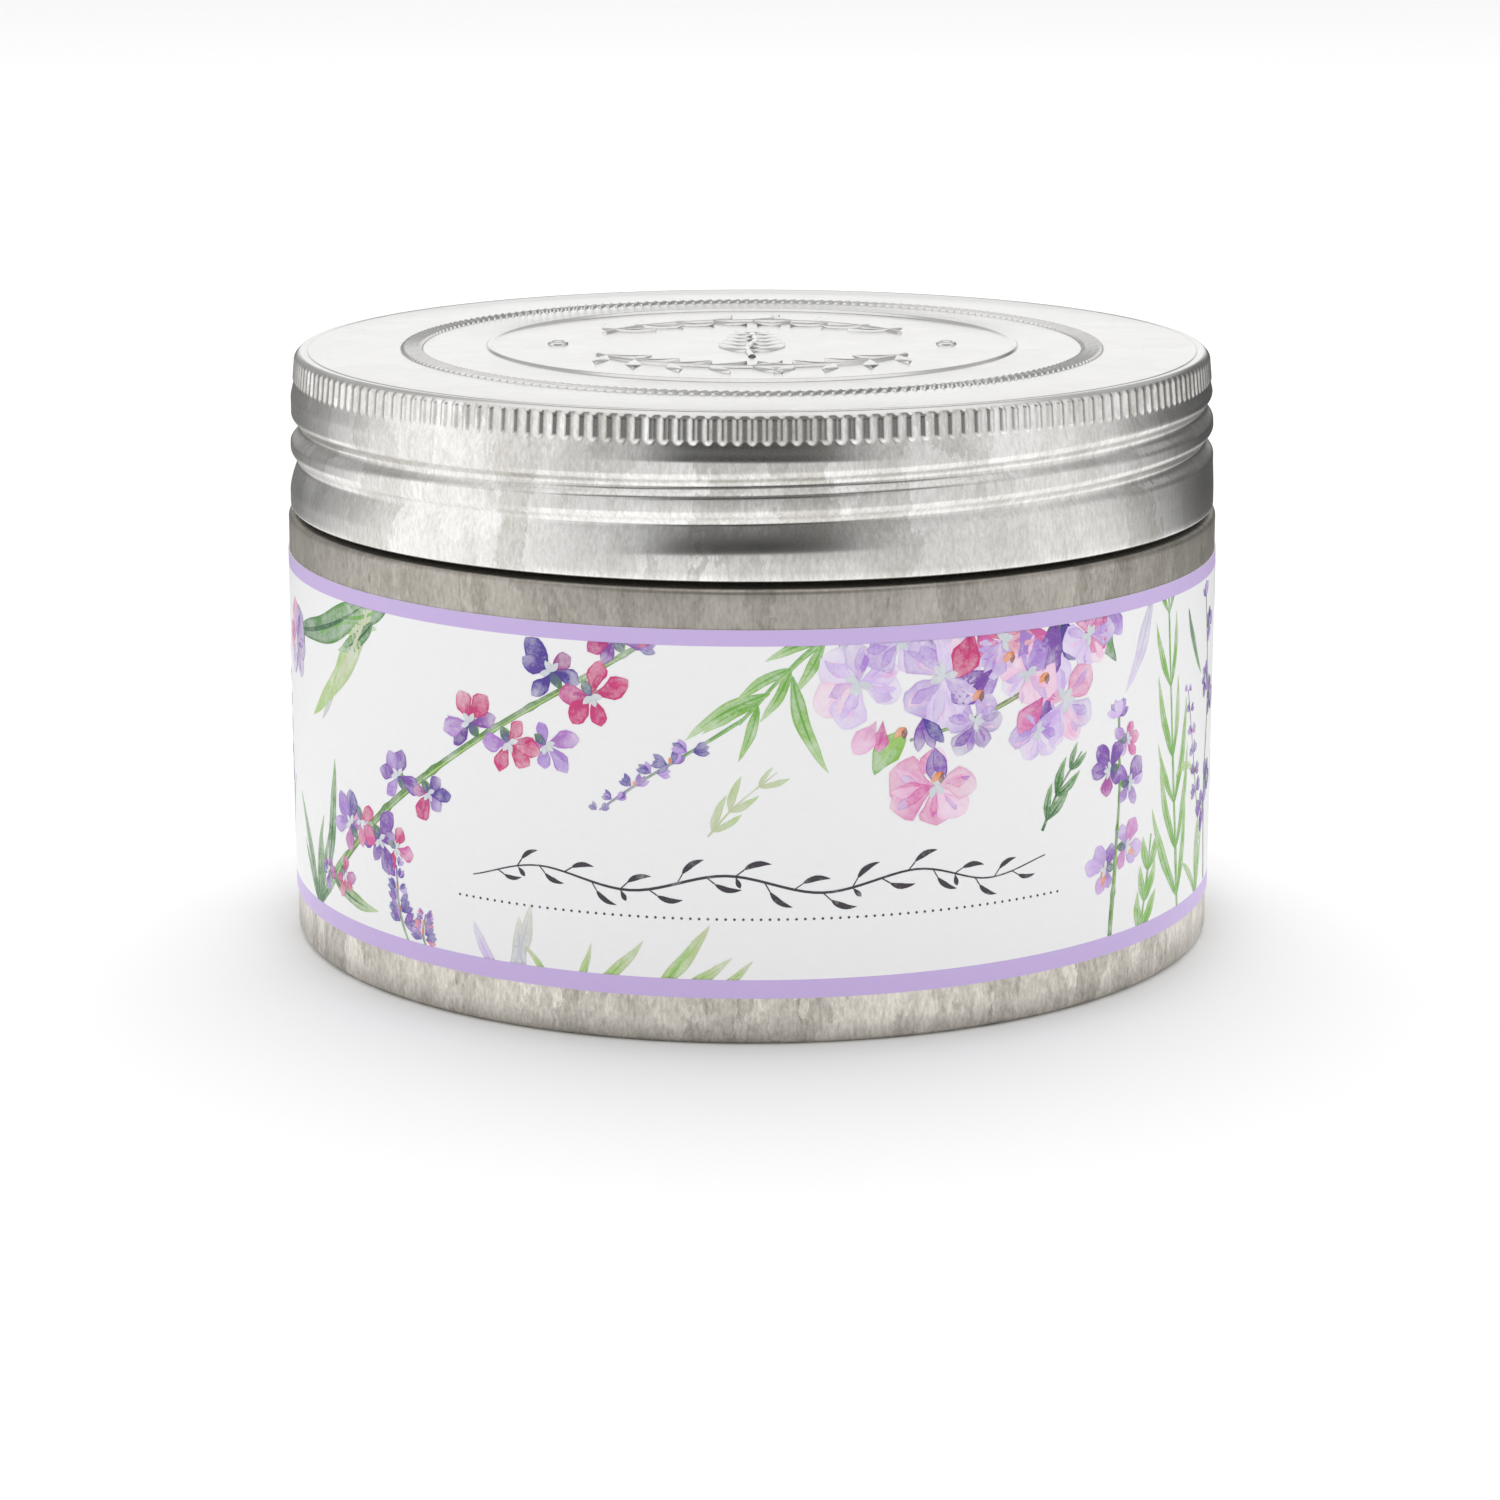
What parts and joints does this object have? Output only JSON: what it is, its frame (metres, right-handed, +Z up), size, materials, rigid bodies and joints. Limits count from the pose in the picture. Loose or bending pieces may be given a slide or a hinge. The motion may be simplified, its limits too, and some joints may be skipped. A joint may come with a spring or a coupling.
{
  "type": "candle tin",
  "caption": "Round screw-top steel candle tin with a knurled lid, wrap label, wax fill and wicks; the lid unscrews and lifts off.",
  "frame": {"origin": "centre of the standing ring, on the table", "axes": "+Z up the tin's axis; -Y faces the front of the label, with the label's seam at +Y"},
  "size_m": [0.1154, 0.1154, 0.0727],
  "materials": {
    "tin_body": "galvanised spangle, satin",
    "lid_shell": "galvanised spangle, bright satin",
    "lid_liner": "matt closed-cell foam",
    "body_label": "satin coated paper with printed sprigs",
    "base_label": "blank satin paper",
    "wax_fill": "soy wax, soft sheen",
    "wick": "waxed cotton braid",
    "wick_sustainer": "plain tinned steel",
    "wick_sticker": "matt foam tape"
  },
  "bodies": {
    "tin": {"tin_body": "tin_body", "body_label": "body_label", "base_label": "base_label", "wax_fill": "wax_fill", "wick_1": "wick", "wick_2": "wick", "wick_3": "wick", "wick_sustainer_1": "wick_sustainer", "wick_sustainer_2": "wick_sustainer", "wick_sustainer_3": "wick_sustainer", "wick_sticker_1": "wick_sticker", "wick_sticker_2": "wick_sticker", "wick_sticker_3": "wick_sticker"},
    "liner": {"lid_liner": "lid_liner"},
    "lid": {"lid_shell": "lid_shell"}
  },
  "joints": [
    {"name": "lid_rise", "type": "slide", "parent": "tin", "child": "liner", "axis": [0, 0, 1], "range_m": [0, 0.0255]},
    {"name": "lid_turn", "type": "hinge", "parent": "liner", "child": "lid", "pos_m": [0, 0, 0.0723], "axis": [0, 0, 1], "range_deg": [0, 2160]}
  ],
  "couplings": [
    {"joint": "lid_rise", "follows": "lid_turn", "m_per_rad": 0.00067376}
  ]
}
